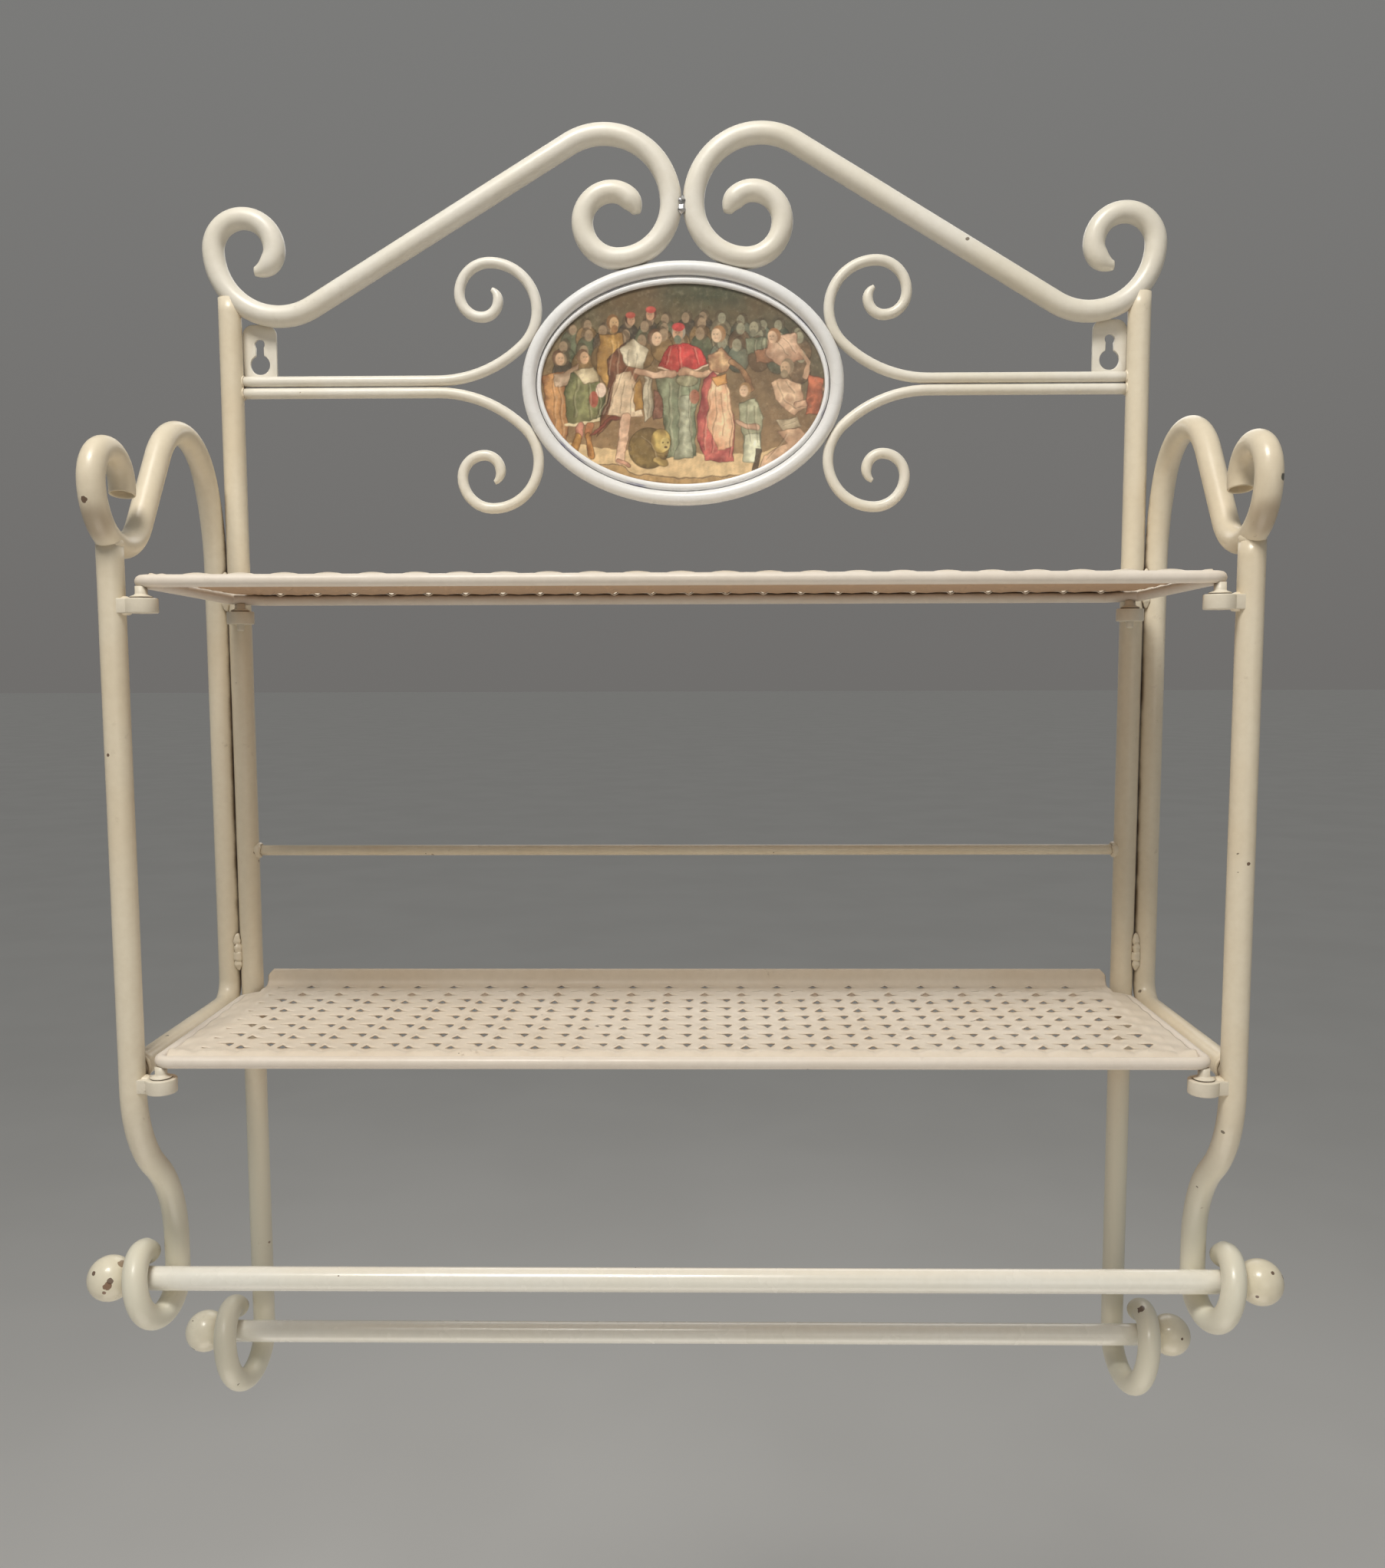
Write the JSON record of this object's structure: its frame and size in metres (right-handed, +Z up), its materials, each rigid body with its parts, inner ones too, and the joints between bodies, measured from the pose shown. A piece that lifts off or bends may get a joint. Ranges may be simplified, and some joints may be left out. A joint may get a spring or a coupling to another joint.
{
  "type": "wall-hung towel rack",
  "caption": "Wall-hung rack of scrolled steel tube with lift-out perforated shelves, a painted oval medallion and ball-ended towel bars.",
  "frame": {"origin": "midway between the centres of the two hanging holes, on the wall plane", "axes": "+Z up, -Y out from the wall into the room, +X to the right for a person facing the rack"},
  "size_m": [0.6106, 0.1615, 0.7158],
  "materials": {
    "cream_enamel": "aged cream enamel, satin, with chips and grime in the corners",
    "pale_enamel": "paler cream enamel, satin, lightly worn",
    "white_bezel": "white enamel, semi-gloss",
    "painted_picture": "varnished printed panel, muted fresco colours",
    "bare_steel": "bare steel, satin",
    "bar_enamel": "ivory enamel, glossy",
    "ball_paint": "turned wood under chipped cream paint, semi-gloss"
  },
  "bodies": {
    "frame": {"rear_upright_left": "cream_enamel", "rear_upright_right": "cream_enamel", "crest_scroll_left": "pale_enamel", "crest_scroll_right": "pale_enamel", "crest_weld_bead": "bare_steel", "c_scroll_upper_left": "pale_enamel", "c_scroll_upper_right": "pale_enamel", "c_scroll_lower_left": "pale_enamel", "c_scroll_lower_right": "pale_enamel", "medallion_rim": "pale_enamel", "medallion_bezel": "white_bezel", "medallion_picture": "painted_picture", "medallion_backing": "pale_enamel", "keyhole_plate_left": "pale_enamel", "keyhole_plate_right": "pale_enamel", "back_rod": "cream_enamel", "front_upright_left": "cream_enamel", "front_upright_right": "cream_enamel", "side_scroll_left": "cream_enamel", "side_scroll_right": "cream_enamel", "side_weld_beads": "cream_enamel", "upper_front_lugs": "cream_enamel", "upper_rear_lugs": "cream_enamel", "lower_front_lugs": "cream_enamel", "lower_rear_lugs": "cream_enamel"},
    "upper_shelf": {"upper_shelf_rim": "cream_enamel", "upper_shelf_sheet": "cream_enamel", "upper_shelf_pins": "cream_enamel"},
    "lower_shelf": {"lower_shelf_rim": "cream_enamel", "lower_shelf_sheet": "cream_enamel", "lower_shelf_pins": "cream_enamel"},
    "front_towel_bar": {"front_bar": "bar_enamel", "front_bar_studs": "bare_steel", "front_ball_left": "ball_paint", "front_ball_right": "ball_paint"},
    "rear_towel_bar": {"rear_bar": "bar_enamel", "rear_bar_studs": "bare_steel", "rear_ball_left": "ball_paint", "rear_ball_right": "ball_paint"}
  },
  "joints": [
    {"name": "upper_shelf_lift", "type": "slide", "parent": "frame", "child": "upper_shelf", "axis": [0, 0, 1], "range_m": [0, 0.025]},
    {"name": "lower_shelf_lift", "type": "slide", "parent": "frame", "child": "lower_shelf", "axis": [0, 0, 1], "range_m": [0, 0.025]},
    {"name": "front_bar_turn", "type": "hinge", "parent": "frame", "child": "front_towel_bar", "pos_m": [0, -0.11125, -0.482], "axis": [1, 0, 0], "continuous": true},
    {"name": "rear_bar_turn", "type": "hinge", "parent": "frame", "child": "rear_towel_bar", "pos_m": [0, -0.02625, -0.555], "axis": [1, 0, 0], "continuous": true}
  ]
}
